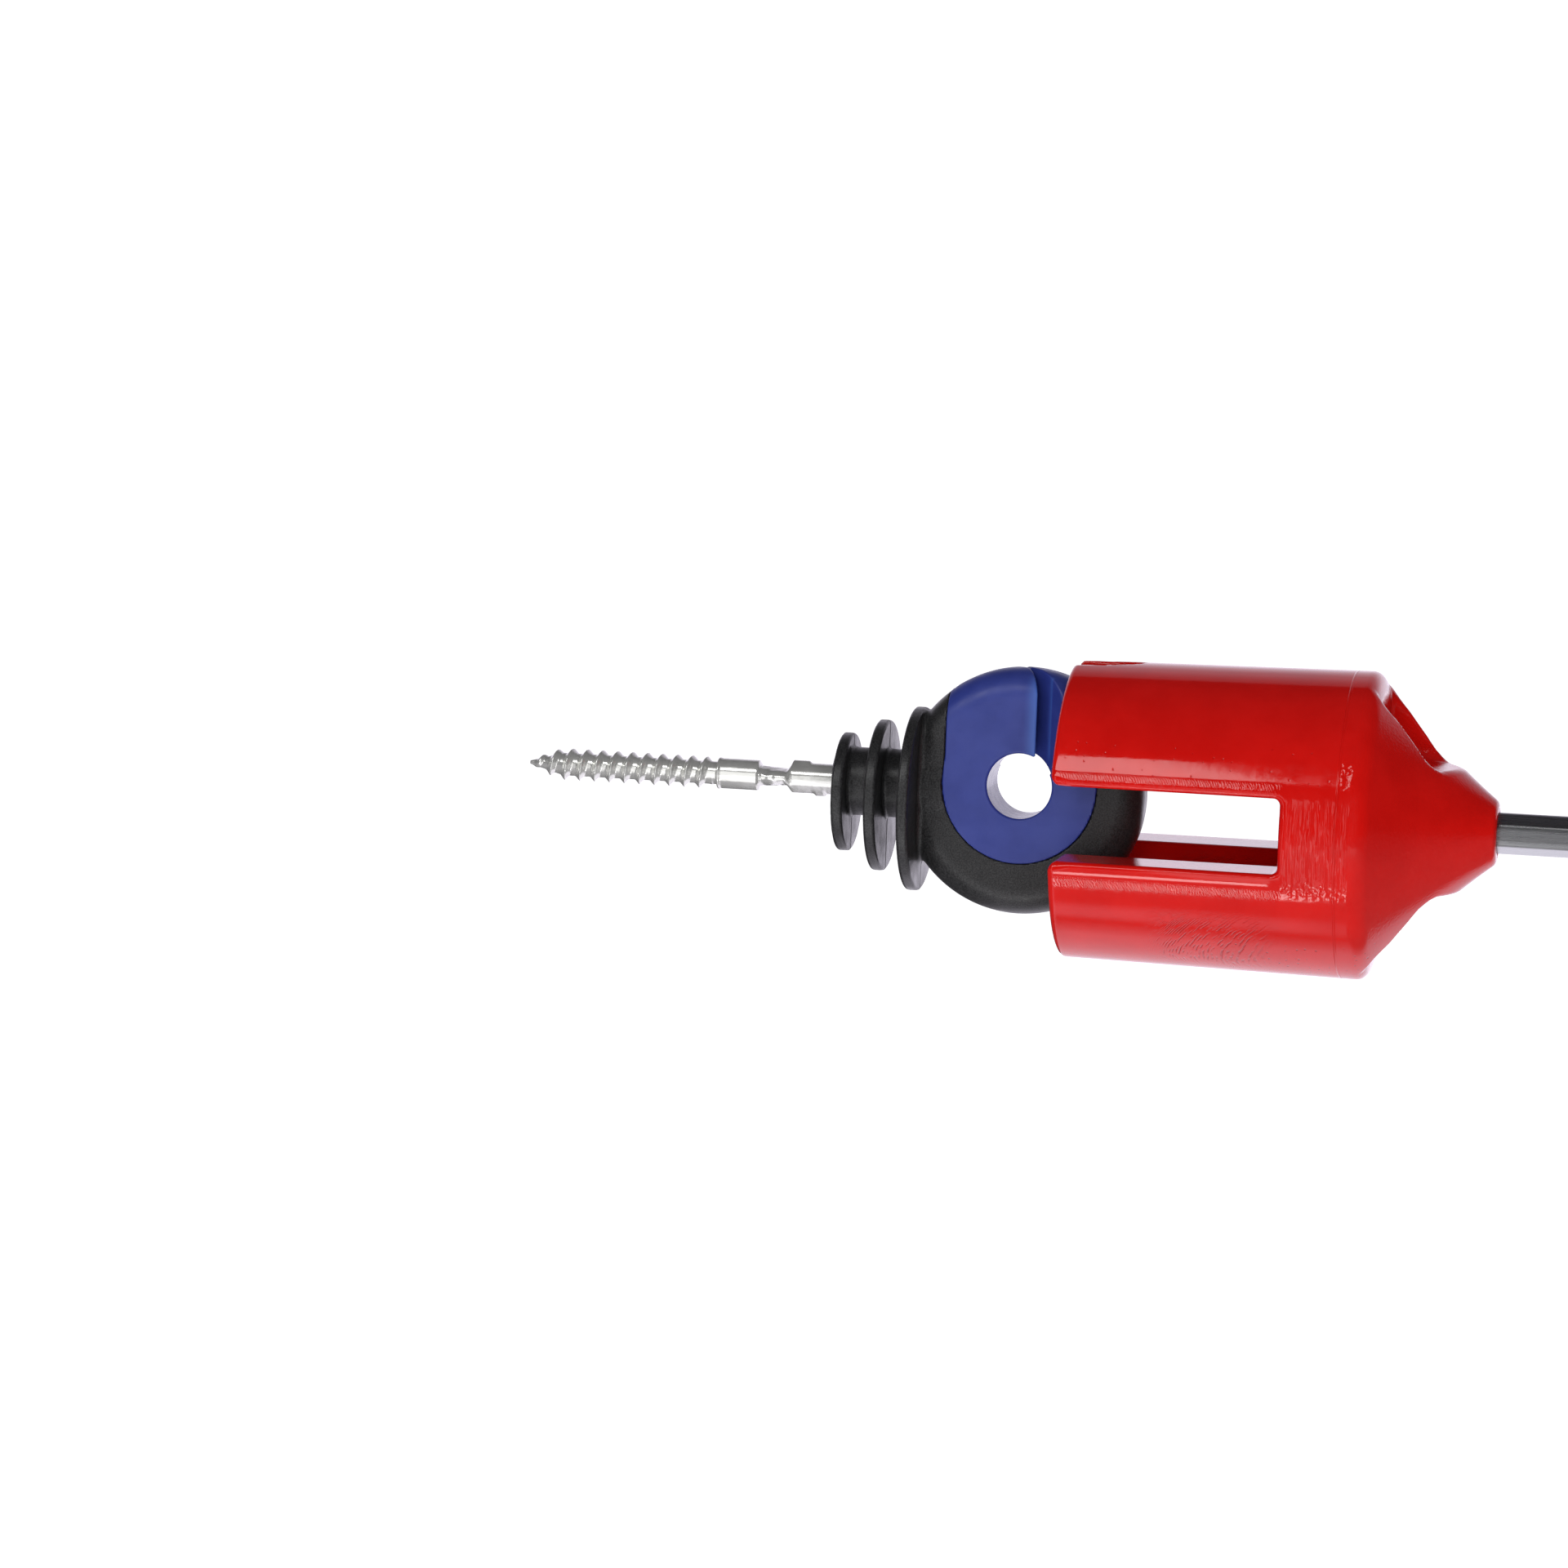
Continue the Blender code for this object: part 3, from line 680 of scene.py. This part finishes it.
HIGH_PORES = ((66.0, 112.0, 2.0), (9.0, 14.5, 1.0))
HIGH_PORE_PICK = (0.75, 0.77)
HIGH_PORE_SHARE = 0.4


def zinc():
    """Bright zinc plating with faint drawn streaks, dull patches and the dents of the crimping tool."""
    p = Pattern("zinc_plate", metallic=0.72)
    streaks = p.noise(1.0, 4.0, 0.6, stretch=(0.2, 2.5, 2.5))
    patches = p.noise(0.4)
    colour = p.mix(p.between(patches, NOISE_SPAN), *ZINC_COLOURS)
    dull = p.between(patches, (0.4, 0.7), 0.0, 0.05)
    roughness = p.plus(p.between(streaks, NOISE_SPAN, 0.15, 0.19), dull)
    dents = p.times(p.minus(p.noise(0.4, 1.0), NOISE_MEAN), p.band(p.x, *WAIST_DENTS))
    normal = p.relief((streaks, 0.002), (p.noise(0.7, 2.0), 0.025), (dents, 0.5))
    return p.finish(colour, roughness, normal)


def black_plastic():
    """Matt black moulding with a fine grain."""
    p = Pattern("black_plastic")
    grain = p.noise(4.5, 2.0, 0.6)
    colour = p.mix(p.between(grain, (0.35, 0.65)), *BLACK_COLOURS)
    roughness = p.between(p.noise(0.25), NOISE_SPAN, 0.28, 0.38)
    return p.finish(colour, roughness, p.relief((grain, 0.03)))


def flap_ends(p):
    """1 on the thin ends of the insert's flaps, at both faces."""
    across = p.times(p.minus(p.x, RING_X), p.y, -1 / RING_HALF)
    ends = p.times(p.between(across, FLAP_RISE), p.between(across, FLAP_END, 1.0, 0.0))
    return p.times(ends, p.between(p.z, FLAP_HEIGHT), p.between(p.math("ABSOLUTE", p.y), FLAP_DEPTH))


def blue_plastic():
    """Satin blue moulding. The thin ends of the flaps look paler, because light gets through them."""
    p = Pattern("blue_plastic")
    deep = p.mix(p.between(p.noise(0.22), NOISE_SPAN), *BLUE_COLOURS)
    colour = p.mix(p.times(flap_ends(p), FLAP_SHARE), deep, BLUE_THIN)
    reach = p.length(p.minus(p.x, RING_X), p.minus(p.z, HOLE_RISE))
    satin = p.between(p.noise(0.6), NOISE_SPAN, 0.34, 0.44)
    roughness = p.times(satin, p.between(reach, HOLE_WALL, HOLE_GLOSS, 1.0))
    return p.finish(colour, roughness, p.relief((p.noise(5.0, 2.0), 0.006)))


def barrel_arc(p):
    """Way round the barrel in millimetres, up and down from the level of its axis."""
    height = p.plus(p.z, DRIVER_DROP)
    return p.times(p.math("ARCTAN2", height, p.math("ABSOLUTE", p.y)), TIP_R)


def outside(p):
    """1 on the barrel's outer surface, 0 on the walls of its slots."""
    return p.between(p.length(p.y, p.plus(p.z, DRIVER_DROP)), OUTER_SKIN)


def flow_marks(p, arc):
    """Ripples of the cooling plastic on the lower jaw: bowed strokes, wider apart near the shoulder."""
    off = p.minus(arc, RIPPLE_ARC)
    along = p.minus(p.x, p.times(off, off, 0.5 / RIPPLE_BOW))
    doublings = p.math("LOGARITHM", p.larger(p.minus(along, RIPPLE_X), 1.0), 2.0)
    sway = p.times(p.noise(0.2, 2.0), RIPPLE_SWAY)
    wave = p.wave(p.plus(p.times(doublings, RIPPLE_COUNT), sway))
    grain = {0: p.times(along, RIPPLE_GRAIN[0]), 1: p.times(arc, RIPPLE_GRAIN[1])}
    strokes = p.noise_on(p.node("CombineXYZ", grain).outputs[0], 1.0, 2.0, 0.5)
    zone = p.zone(*RIPPLE_ZONE, arc)
    return p.times(p.between(wave, RIPPLE_CREST), p.between(strokes, RIPPLE_BREAKS), zone)


def web_wrinkles(p, arc):
    """Upright wrinkles between the slots and the shoulder, pebbled at their lower end and on a spot above."""
    folds = p.minus(p.noise(1.0, 1.0, 0.5, stretch=WEB_FOLDS), NOISE_MEAN)
    pebbles = p.minus(p.noise(WEB_PEBBLES, 0.6), NOISE_MEAN)
    share = p.between(arc, WEB_PEBBLE_ARC, *WEB_PEBBLE_SHARE)
    mixed = p.plus(p.times(pebbles, share), p.times(folds, p.minus(1.0, share)))
    spot = p.times(pebbles, p.zone(*WEB_SPOT, arc), WEB_SPOT_SHARE)
    return p.plus(p.times(mixed, p.zone(*WEB_ZONE, arc)), spot)


def lip_wrinkles(p, arc):
    """Short slanting wrinkles below the lower lip, and fainter ones on the upper lip."""
    slant = p.plus(p.x, p.times(p.z, LIP_FOLD_SLANT))
    sway = p.times(p.noise(0.7, 2.0), LIP_FOLD_SWAY)
    wave = p.wave(p.plus(p.times(slant, 1 / LIP_FOLD), sway))
    breaks = p.between(p.noise(0.8, 2.0), LIP_FOLD_BREAKS, LIP_FOLD_LEAST, 1.0)
    lips = p.plus(p.band(arc, *LOW_LIP_ARC), p.times(p.band(arc, *HIGH_LIP_ARC), HIGH_LIP_SHARE))
    return p.times(p.between(wave, LIP_FOLD_CREST), breaks, lips, p.band(p.x, *LIP_FOLD_X), outside(p))


def pore_marks(p, arc):
    """Pin holes: some in the band above the upper lip, more on the lower jaw near the shoulder."""
    flat = p.node("CombineXYZ", {0: p.x, 1: arc}).outputs[0]
    cells = p.node("TexVoronoi", {"Vector": flat, "Scale": PORE_CELLS}, voronoi_dimensions="2D").outputs
    pick, size, _ = p.node("SeparateColor", {0: cells["Color"]}).outputs
    low = p.times(p.zone(*LOW_PORES, arc), p.between(pick, LOW_PORE_PICK))
    high = p.times(p.zone(*HIGH_PORES, arc), p.between(pick, HIGH_PORE_PICK, 0.0, HIGH_PORE_SHARE))
    rim = p.between(size, (0.0, 1.0), *PORE_RIM)
    dots = p.between(cells["Distance"], (PORE_CORE, rim), 1.0, 0.0)
    return p.times(dots, p.larger(low, high))


def red_plastic():
    """Glossy red moulding with flow marks, wrinkles, pores and the mould's seam line. The pores and the
    ripples' grooves have a darker red painted in as their shade.
    """
    p = Pattern("red_plastic")
    arc = barrel_arc(p)
    pores = pore_marks(p, arc)
    ripples = flow_marks(p, arc)
    plain = p.mix(p.between(p.noise(0.12), NOISE_SPAN), *RED_COLOURS)
    # where the painted shade of the pores and ripples goes, and how strong it is
    shade = p.larger(p.times(pores, PORE_SHADE), p.times(ripples, RIPPLE_SHADE))
    roughness = p.between(p.noise(0.8), NOISE_SPAN, 0.06, 0.10)
    peel = p.times(p.noise(2.0, 2.0), p.between(p.x, CONE_PEEL))
    slot_walls = p.times(p.noise(2.5, 2.0), p.minus(1.0, outside(p)))
    normal = p.relief(
        (p.noise(0.5, 2.0), 0.006),
        (ripples, -0.055),
        (web_wrinkles(p, arc), 0.30),
        (lip_wrinkles(p, arc), 0.05),
        (peel, 0.03),
        (p.band(p.x, *MOULD_SEAM), 0.08),
        (pores, -0.05),
        (slot_walls, 0.025),
    )
    return p.finish(p.mix(shade, plain, RED_PAINTED_SHADE), roughness, normal)


def drawn_steel():
    """Drawn hexagon steel with fine lines along its length."""
    p = Pattern("drawn_steel", metallic=1.0)
    lines = p.noise(1.0, 3.0, 0.6, stretch=(0.06, 7.0, 7.0))
    roughness = p.between(lines, NOISE_SPAN, 0.24, 0.36)
    return p.finish(p.mix(lines, *STEEL_COLOURS), roughness, p.relief((lines, 0.012)))


# Stage, in metres

CENTRE = Vector((RING_X * MM, 0, 0))
WHITE = (1, 1, 1, 1)
PAPER_TINT = (0.92, 0.87, 1.0, 1)
FLOOR_Z = -0.30
FLOOR_SIZE = 9.0
FLOOR_WHITE = (0.9, 0.9, 0.9, 1)
FLOOR_GREY = (0.45, 0.45, 0.45, 1)   # for the light that it throws back on the object
FLOOR_ROUGHNESS = 0.9
FLOOR_NEAR = (0.35, 0.75)  # the floor's own white grows over this distance from the object
FLOOR_NEAR_WHITE = 0.4     # nearer, the lamps make up the rest, so that the object's shadow shows
FLOOR_LIGHT = 0.58         # the floor as a light on the object

# The floor as it shows in the object's gloss
FLOOR_LEAN = 0.203         # the way to the left of a mirrored ray, for each metre
FLOOR_FRONT_SHINE = 0.05   # in front of the driver
FLOOR_LEFT_SHINE = 0.9     # in front of the insulator
FLOOR_LEFT_START = (-2.0, -1.2)      # that part begins this far in front
FLOOR_LEFT_END = (0.0, 0.02)         # and ends here on the right
FLOOR_BACK_SHINE = 1.0     # behind the object
FLOOR_FAR_SHINE = 1.6      # and far behind it
FLOOR_FAR = (0.5, 1.5)
FLOOR_EDGE = (-0.02, 0.06)           # from front to back
FLOOR_EDGE_TURN = 0.08     # right of this that edge runs off to the back
FLOOR_EDGE_SLANT = 0.8
SHANK_FLAG = (-0.034, -0.028)        # left of this the floor is dark round the shank
SHANK_FLAG_SHINE = 0.08
SHANK_FLAG_GREYS = (0.08, 0.45)      # left and right of it
STRIPE_SHINE = 0.75        # a stripe close in front of the driver
STRIPE_DEPTH = ((-0.13, -0.09), (-0.06, -0.03))
STRIPE_ALONG = ((0.0, 0.01), (0.07, 0.10))

# White sweep behind the object, by how steeply a ray rises
SWEEP_LEVEL = 1.25
SWEEP_TOP_LEVEL = 0.55
SWEEP_FADE = (radians(8), radians(30))
SWEEP_DIM = (radians(34), radians(50))
SWEEP_DIM_SHARE = 0.35
SWEEP_END = (radians(48.5), radians(50.5))
SWEEP_SIDE = (0.1, 0.4)    # its edges on both sides
SWEEP_RIGHT_TURN = 0.5     # it ends sooner on the right
ROOM_LEVEL = 0.03

# Key lamp: the place that its upper right corner is near, seen from the ring
KEY_AZIMUTH = -9
KEY_ELEVATION = 41
KEY_DISTANCE = 1.2
KEY_SHIFT = (0.408, 0.121) # from that place to its middle, left and down


def floor_shine(g, place):
    """The floor's glow and its shade as the object's gloss shows them, with flags beside some pieces."""
    across, depth, _ = g.node("SeparateXYZ", {0: place}).outputs
    along = g.plus(across, g.times(g.length(depth, FLOOR_Z), FLOOR_LEAN))
    left = g.between(along, SHANK_FLAG, SHANK_FLAG_SHINE, FLOOR_LEFT_SHINE)
    left = g.times(left, g.between(along, FLOOR_LEFT_END, 1.0, 0.0), g.between(depth, FLOOR_LEFT_START))
    front = g.plus(left, FLOOR_FRONT_SHINE)
    back = g.between(depth, FLOOR_FAR, FLOOR_BACK_SHINE, FLOOR_FAR_SHINE)
    back = g.times(back, g.between(along, SHANK_FLAG, SHANK_FLAG_SHINE, 1.0))
    aside = g.larger(g.minus(across, FLOOR_EDGE_TURN), 0.0)
    edge = g.minus(depth, g.times(aside, FLOOR_EDGE_SLANT))
    shine = g.plus(front, g.times(g.minus(back, front), g.between(edge, FLOOR_EDGE)))
    stripe = STRIPE_SHINE
    for value, (rise, fall) in ((depth, STRIPE_DEPTH), (along, STRIPE_ALONG)):
        stripe = g.times(stripe, g.between(value, rise), g.between(value, fall, 1.0, 0.0))
    return g.plus(shine, stripe), g.between(along, SHANK_FLAG, *SHANK_FLAG_GREYS)


def floor_paper():
    """Paper that glows white to the camera, less so as a light, and as floor_shine says in the gloss."""
    material = bpy.data.materials.new("floor_paper")
    material.use_nodes = True
    g = Graph(material.node_tree)
    surface = g.tree.nodes["Principled BSDF"].inputs
    surface["Roughness"].default_value = FLOOR_ROUGHNESS
    surface["Specular IOR Level"].default_value = 0.0
    place = g.node("TexCoord").outputs["Object"]
    away = g.node("VectorMath", {0: place}, operation="LENGTH").outputs["Value"]
    ray = g.node("LightPath").outputs
    in_view = ray["Is Camera Ray"]
    as_light = ray["Is Diffuse Ray"]
    in_gloss = g.minus(1.0, g.larger(in_view, as_light))
    seen = g.times(in_view, g.between(away, FLOOR_NEAR, FLOOR_NEAR_WHITE, 1.0))
    light = g.times(as_light, FLOOR_LIGHT)
    shine, grey = floor_shine(g, place)
    glow = g.plus(seen, g.plus(light, g.times(shine, in_gloss)))
    g.feed(surface["Emission Strength"], glow)
    g.feed(surface["Emission Color"], g.mix(in_gloss, WHITE, PAPER_TINT))
    grey = g.node("CombineColor", {0: grey, 1: grey, 2: grey}).outputs[0]
    g.feed(surface["Base Color"], g.mix(in_view, g.mix(in_gloss, FLOOR_GREY, grey), FLOOR_WHITE))
    return material


def build_floor():
    """A plain pale floor well below the hanging object. It looks white and keeps the object's shadow."""
    half = FLOOR_SIZE / 2
    corners = [(-half, -half, 0), (half, -half, 0), (half, half, 0), (-half, half, 0)]
    mesh = bpy.data.meshes.new("floor")
    mesh.from_pydata(corners, [], [(0, 1, 2, 3)])
    mesh.materials.append(floor_paper())
    floor = bpy.data.objects.new("floor", mesh)
    floor.location = (CENTRE.x, 0, FLOOR_Z)
    bpy.context.scene.collection.objects.link(floor)


def build_world():
    """White behind the object and a dim room round it, as in a studio with a white sweep."""
    world = bpy.data.worlds.new("studio")
    bpy.context.scene.world = world
    world.use_nodes = True
    g = Graph(world.node_tree)
    x, y, z = g.node("SeparateXYZ", {0: g.node("TexCoord").outputs["Generated"]}).outputs
    tilt = g.math("ARCTAN2", z, y)
    inward = g.minus(y, g.times(g.larger(x, 0.0), SWEEP_RIGHT_TURN))
    paper = g.between(tilt, SWEEP_FADE, SWEEP_LEVEL, SWEEP_TOP_LEVEL)
    paper = g.times(paper, g.between(tilt, SWEEP_DIM, 1.0, SWEEP_DIM_SHARE))
    paper = g.times(paper, g.between(tilt, SWEEP_END, 1.0, 0.0), g.between(inward, SWEEP_SIDE))
    in_view = g.node("LightPath").outputs["Is Camera Ray"]
    background = g.tree.nodes["Background"].inputs
    g.feed(background["Strength"], g.larger(g.larger(paper, ROOM_LEVEL), in_view))
    g.feed(background["Color"], g.mix(in_view, PAPER_TINT, WHITE))


def softbox(name, place, aim, size, radiance, roll=0.0, glossy=True):
    """An area lamp at place that shines towards aim. Its size is its width and its height."""
    lamp = bpy.data.lights.new(name, "AREA")
    lamp.shape = "RECTANGLE"
    lamp.size, lamp.size_y = size
    lamp.energy = radiance * pi * size[0] * size[1]
    holder = bpy.data.objects.new(name, lamp)
    bpy.context.scene.collection.objects.link(holder)
    holder.location = place
    facing = (Vector(place) - Vector(aim)).to_track_quat("Z", "Y")
    holder.rotation_euler = (facing @ Quaternion((0, 0, 1), roll)).to_euler()
    holder.visible_glossy = glossy
    holder.visible_camera = False


def around(azimuth, elevation, distance):
    """A place round the ring. Azimuth 0 is in front of it and grows towards +X."""
    a, e = radians(azimuth), radians(elevation)
    return CENTRE + Vector((sin(a) * cos(e), -cos(a) * cos(e), sin(e))) * distance


def build_lamps():
    """A key, a strip and two cards that show in the gloss, and two plain lamps that only light."""
    corner = around(KEY_AZIMUTH, KEY_ELEVATION, KEY_DISTANCE)
    across = Vector((cos(radians(KEY_AZIMUTH)), sin(radians(KEY_AZIMUTH)), 0))
    up = (corner - CENTRE).normalized().cross(across)
    key = corner - across * KEY_SHIFT[0] - up * KEY_SHIFT[1]
    key_aim = key - (corner - CENTRE)
    softbox("key", key, key_aim, size=(0.85, 0.27), radiance=4.2, roll=radians(14))
    softbox("low_strip", (0.031, -0.205, -0.25), (0.085, 0, 0), size=(0.065, 0.040), radiance=6.5)
    softbox("shank_card", (-0.036, -0.16, -0.0835), (-0.036, 0, -0.0835), size=(0.050, 0.283), radiance=1.25)
    softbox("web_card", (0.068, -0.20, -0.06), (0.068, 0, -0.06), size=(0.035, 0.26), radiance=0.9)
    softbox("front_fill", around(16, 8, 1.5), CENTRE, size=(1.4, 1.0), radiance=3.0, glossy=False)
    softbox("overhead", around(0, 85, 1.5), CENTRE, size=(2.0, 2.0), radiance=0.5, glossy=False)


# Camera, from the photograph's perspective

IMAGE_PX = 1920
FOCAL_PX = 7000
CAMERA_DISTANCE = 0.992
CAMERA_YAW = radians(11.5)
CAMERA_ELEVATION = radians(6.3)
CAMERA_ROLL = radians(2.05)
RING_PX = (1254, 968)      # where the ring's centre lies in the picture


def build_camera():
    """A camera that has the ring's centre at its place in the picture."""
    data = bpy.data.cameras.new("camera")
    data.sensor_width = 36
    data.lens = FOCAL_PX / IMAGE_PX * data.sensor_width
    data.clip_start = 0.01
    camera = bpy.data.objects.new("camera", data)
    bpy.context.scene.collection.objects.link(camera)
    flat = cos(CAMERA_ELEVATION)
    back = Vector((sin(CAMERA_YAW) * flat, -cos(CAMERA_YAW) * flat, sin(CAMERA_ELEVATION)))
    level = Vector((cos(CAMERA_YAW), sin(CAMERA_YAW), 0))
    upright = back.cross(level)
    right = level * cos(CAMERA_ROLL) + upright * sin(CAMERA_ROLL)
    up = upright * cos(CAMERA_ROLL) - level * sin(CAMERA_ROLL)
    per_px = CAMERA_DISTANCE / FOCAL_PX
    across = (RING_PX[0] - IMAGE_PX / 2) * per_px
    down = (RING_PX[1] - IMAGE_PX / 2) * per_px
    turn = Matrix((right, up, back)).transposed()
    spot = CENTRE + back * CAMERA_DISTANCE - right * across + up * down
    camera.matrix_world = Matrix.LocRotScale(spot, turn.to_quaternion(), None)
    bpy.context.scene.camera = camera


def build_object():
    """The five pieces, each with its material."""
    shank = turned_piece("steel_shank", spaced(*SHANK_GRID), shank_section, SHANK_SIDES)
    place(shank, "insulator", "shank", "zinc_steel", zinc())

    body = field_piece("black_body", body_field, [spaced(*axis) for axis in BODY_GRID])
    place(body, "insulator", "insulator_body", "black_plastic", black_plastic())

    insert = field_piece("blue_insert", insert_field, [spaced(*axis) for axis in INSERT_GRID])
    place(insert, "insulator", "wear_insert", "blue_plastic", blue_plastic())

    along, across, upright = [spaced(*axis) for axis in DRIVER_GRID]
    driver = field_piece("red_driver", driver_field, [along, across, upright - DRIVER_DROP])
    place(driver, "driver", "driver_body", "red_plastic", red_plastic())

    drive = turned_piece("hex_drive", spaced(*HEX_GRID), hex_section, HEX_SIDES)
    place(drive, "driver", "drive_shank", "hex_steel", drawn_steel())


build_object()
build_floor()
build_world()
build_lamps()
build_camera()
bpy.context.scene.view_settings.view_transform = "Standard"
